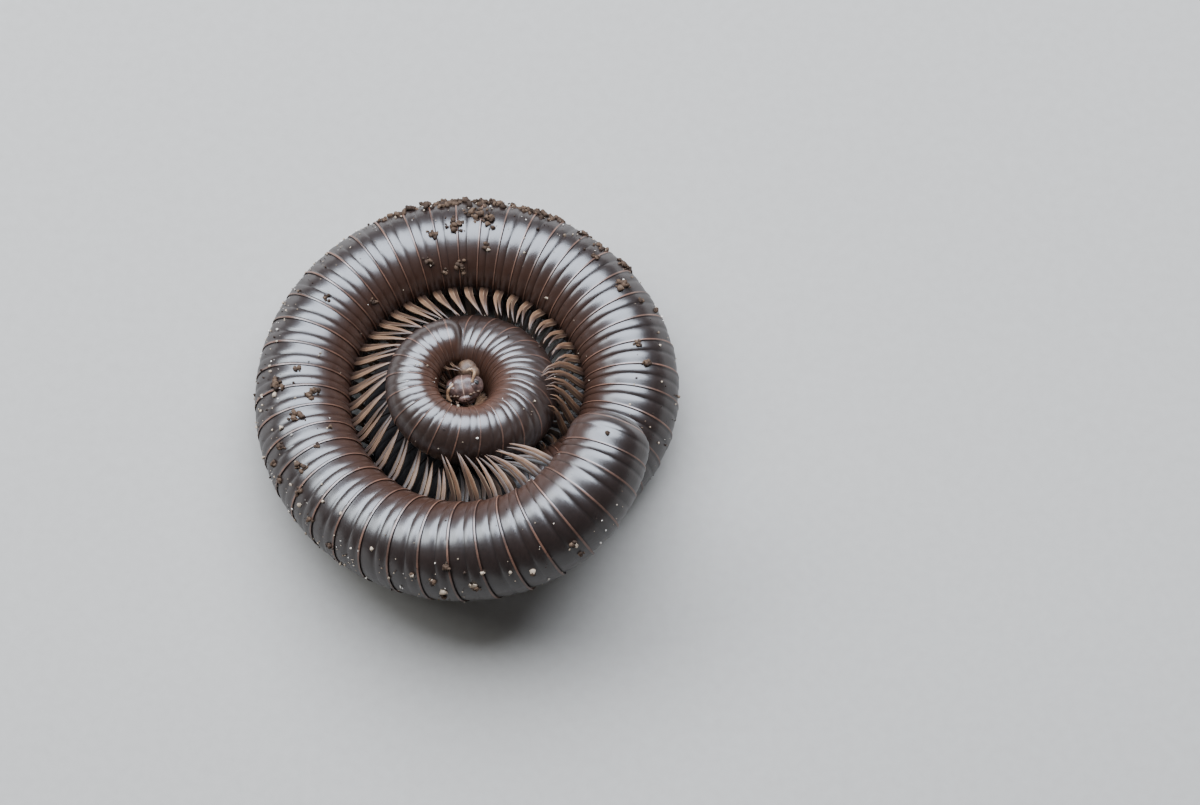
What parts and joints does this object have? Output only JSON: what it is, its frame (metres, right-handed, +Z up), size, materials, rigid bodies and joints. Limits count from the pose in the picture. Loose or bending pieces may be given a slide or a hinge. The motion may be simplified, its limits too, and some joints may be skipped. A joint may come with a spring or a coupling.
{
  "type": "coiled millipede model",
  "caption": "Life-size still model of a giant millipede, coiled on its side in a spiral with its legs turned inwards and its head in the middle.",
  "frame": {"origin": "on the floor, below the middle of the coil's bounding box", "axes": "+Z up, along the coil's axis; +Y towards the coil's twelve o'clock, where the outer turn is farthest from the tail; the body turns clockwise from tail to head seen from above"},
  "size_m": [0.0421, 0.044, 0.019],
  "materials": {
    "shell": "glossy brown-black cuticle",
    "chestnut": "glossy chestnut head shell",
    "eye_black": "glossy black",
    "horn": "horn-coloured limb"
  },
  "bodies": {
    "root": {"tail_ring": "shell", "anal_valve_left": "shell", "anal_valve_right": "shell", "trunk_01": "shell", "trunk_02": "shell", "trunk_03": "shell", "trunk_04": "shell", "trunk_05": "shell", "trunk_06": "shell", "trunk_07": "shell", "trunk_08": "shell", "trunk_09": "shell", "trunk_10": "shell", "trunk_11": "shell", "trunk_12": "shell", "trunk_13": "shell", "collum": "shell", "head": "chestnut", "eye_left": "eye_black", "eye_right": "eye_black", "antenna_left": "horn", "antenna_right": "horn"}
  },
  "joints": []
}
